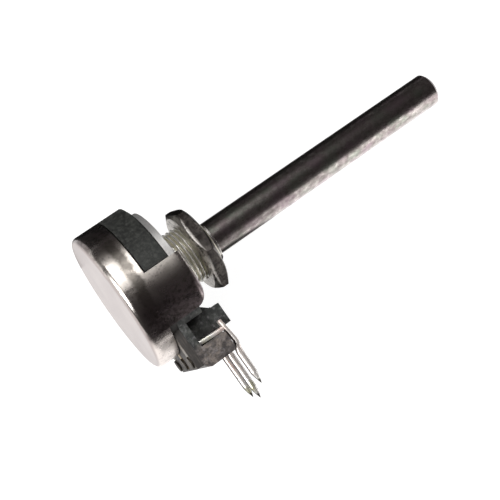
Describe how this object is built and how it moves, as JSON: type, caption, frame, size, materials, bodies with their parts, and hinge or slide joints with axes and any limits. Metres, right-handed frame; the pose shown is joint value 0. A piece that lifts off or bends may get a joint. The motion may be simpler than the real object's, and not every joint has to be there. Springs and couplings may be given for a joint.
{
  "type": "rotary potentiometer",
  "caption": "Panel-mounted rotary potentiometer: drawn steel can, black moulded terminal block with pins, threaded bush with hex nut, and a long plain round shaft.",
  "frame": {"origin": "on the shaft axis, at the front face of the metal front plate", "axes": "+X along the shaft to its tip, -Y towards the terminals, +Z across the terminals"},
  "size_m": [0.0675, 0.0382, 0.0248],
  "materials": {
    "plated_steel_can": "bright nickel plate on deep-drawn steel sheet",
    "die_plate": "matt as-cast light alloy",
    "plated_bush": "nickel-plated turned brass with a rolled thread",
    "plated_nut": "nickel-plated steel, tumbled",
    "shaft_steel": "bright-drawn steel, lightly oiled",
    "ring_steel": "spring steel, bright",
    "bronze": "rolled phosphor bronze",
    "stamped_steel": "zinc-plated stamped steel",
    "phenolic": "compression-moulded black phenolic, dusty",
    "laminate": "punched black paper laminate",
    "carbon_film": "printed carbon film",
    "brass_sheet": "stamped brass",
    "silver_ink": "printed silvered film",
    "tinned_strip": "tinned stamped brass"
  },
  "bodies": {
    "housing": {"can": "plated_steel_can", "front_plate": "die_plate", "bushing": "plated_bush", "base": "phenolic", "wafer": "laminate", "resistive_track": "carbon_film", "collector_ring": "brass_sheet", "end_pad_left": "silver_ink", "end_pad_right": "silver_ink", "terminal_left": "tinned_strip", "terminal_wiper": "tinned_strip", "terminal_right": "tinned_strip", "rivet_left": "brass_sheet", "rivet_wiper": "brass_sheet", "rivet_right": "brass_sheet"},
    "spindle": {"shaft": "shaft_steel", "retaining_ring": "ring_steel", "thrust_washer": "bronze", "stop_washer": "stamped_steel", "rotor": "phenolic", "wiper": "bronze"},
    "panel_nut": {"hex_nut": "plated_nut"}
  },
  "joints": [
    {"name": "shaft_turn", "type": "hinge", "parent": "housing", "child": "spindle", "pos_m": [0, 0, 0], "axis": [1, 0, 0], "range_deg": [-150, 150]},
    {"name": "nut_travel", "type": "slide", "parent": "housing", "child": "panel_nut", "axis": [1, 0, 0], "range_m": [-0.0036, 0.0024]}
  ]
}
